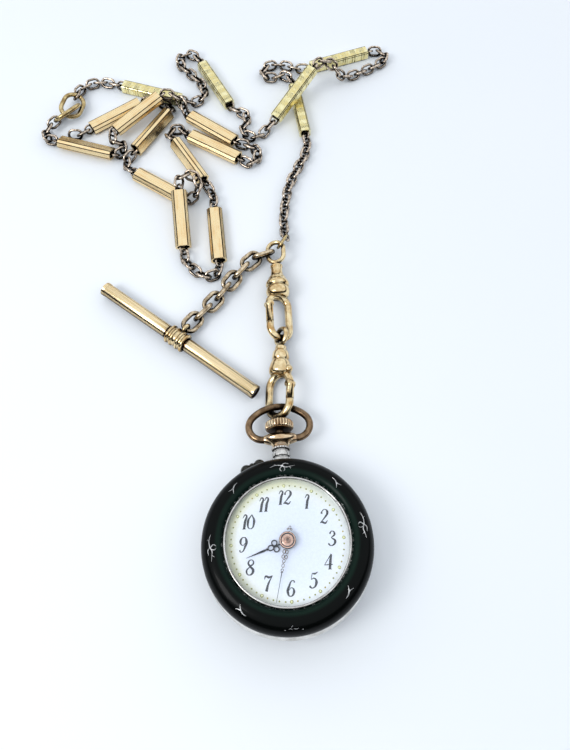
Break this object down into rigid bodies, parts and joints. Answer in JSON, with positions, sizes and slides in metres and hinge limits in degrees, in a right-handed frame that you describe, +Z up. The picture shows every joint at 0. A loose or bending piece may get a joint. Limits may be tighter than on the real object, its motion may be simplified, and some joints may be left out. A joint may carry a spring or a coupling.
{
  "type": "pendant watch with chain",
  "caption": "Open-faced lady's pendant watch with bow and winding crown, on two swivel clips, with a T-bar on a short chain and a long bar-and-cable chain.",
  "frame": {"origin": "centre of the small flat spot under the domed back, on which the watch rests", "axes": "+Z up from the table, +Y from the watch toward its pendant and chain, +X to the right as seen from above"},
  "size_m": [0.0862, 0.1406, 0.0112],
  "materials": {
    "silver_case": "worn polished silver",
    "black_enamel": "glossy black-green enamelled metal with worn silver inlay",
    "glass": "clear domed glass",
    "movement_brass": "plain gilt brass",
    "dial_enamel": "white enamel with a cream rim, blue-black numerals and gold minute dots",
    "blued_steel": "heat-blued steel",
    "gilt_hand": "gilt filigree with a copper boss",
    "steel_button": "worn steel",
    "crown_gold": "worn rose-brown gold",
    "bow_gold": "polished rose-brown gold",
    "clip_gold": "yellow gold with dark tarnish in the grooves",
    "polished_gold": "polished pale gold",
    "chain_gold": "dull yellow gold, tarnished between the links",
    "cable_bronze": "dark brown tarnished metal with bright worn edges",
    "engraved_gold": "engraved olive-yellow gold with dark edges",
    "rose_gold": "pale peach gold with dark edge lines"
  },
  "bodies": {
    "watch_and_chain": {"case_back": "silver_case", "case_band": "silver_case", "bezel": "black_enamel", "bezel_ring": "silver_case", "crystal": "glass", "movement": "movement_brass", "dial": "dial_enamel", "push_guard": "steel_button", "pendant_neck": "silver_case", "bow": "bow_gold", "lower_clip_body": "clip_gold", "lower_eye": "clip_gold", "upper_clip_body": "clip_gold", "upper_eye": "clip_gold", "toggle_bar": "polished_gold", "toggle_collar": "clip_gold", "toggle_chain": "chain_gold", "start_ring": "chain_gold", "cable_links": "cable_bronze", "oval_ring_1": "chain_gold", "oval_ring_2": "chain_gold", "yellow_bar_1": "engraved_gold", "yellow_bar_2": "engraved_gold", "yellow_bar_3": "engraved_gold", "yellow_bar_4": "engraved_gold", "yellow_bar_5": "engraved_gold", "rose_bar_1": "rose_gold", "rose_bar_2": "rose_gold", "rose_bar_3": "rose_gold", "rose_bar_4": "rose_gold", "rose_bar_5": "rose_gold", "rose_bar_6": "rose_gold", "rose_bar_7": "rose_gold", "rose_bar_8": "rose_gold", "rose_bar_9": "rose_gold", "rose_bar_10": "rose_gold"},
    "minute": {"minute_hand": "gilt_hand"},
    "hour": {"hour_hand": "blued_steel"},
    "winder": {"crown": "crown_gold"},
    "push": {"push_piece": "steel_button"},
    "low_gate": {"lower_gate": "clip_gold"},
    "up_gate": {"upper_gate": "clip_gold"}
  },
  "joints": [
    {"name": "minute_turn", "type": "hinge", "parent": "watch_and_chain", "child": "minute", "pos_m": [0.00018, -0.00257, 0.00856], "axis": [-0.0061, 0.0869, 0.9962], "continuous": true},
    {"name": "hour_turn", "type": "hinge", "parent": "watch_and_chain", "child": "hour", "pos_m": [0.00018, -0.00259, 0.00826], "axis": [-0.0061, 0.0869, 0.9962], "continuous": true},
    {"name": "crown_turn", "type": "hinge", "parent": "watch_and_chain", "child": "winder", "pos_m": [-0.00137, 0.01959, 0.00311], "axis": [-0.0695, 0.9938, -0.0872], "continuous": true},
    {"name": "push_slide", "type": "slide", "parent": "watch_and_chain", "child": "push", "axis": [0.4144, -0.9064, 0.0816], "range_m": [0, 0.0006], "stiffness_N_per_m": 800},
    {"name": "low_gate_turn", "type": "hinge", "parent": "watch_and_chain", "child": "low_gate", "pos_m": [0.00073, 0.02783, 0.00435], "axis": [0.6545, -0.016, -0.7559], "range_deg": [0, 25], "stiffness_Nm_per_rad": 0.004, "springref_deg": -5.73},
    {"name": "up_gate_turn", "type": "hinge", "parent": "watch_and_chain", "child": "up_gate", "pos_m": [-0.00358, 0.04572, 0.0039], "axis": [0.5291, 0.0287, 0.848], "range_deg": [0, 25], "stiffness_Nm_per_rad": 0.004, "springref_deg": -5.73}
  ],
  "couplings": [
    {"joint": "hour_turn", "follows": "minute_turn", "ratio": 0.083333}
  ]
}
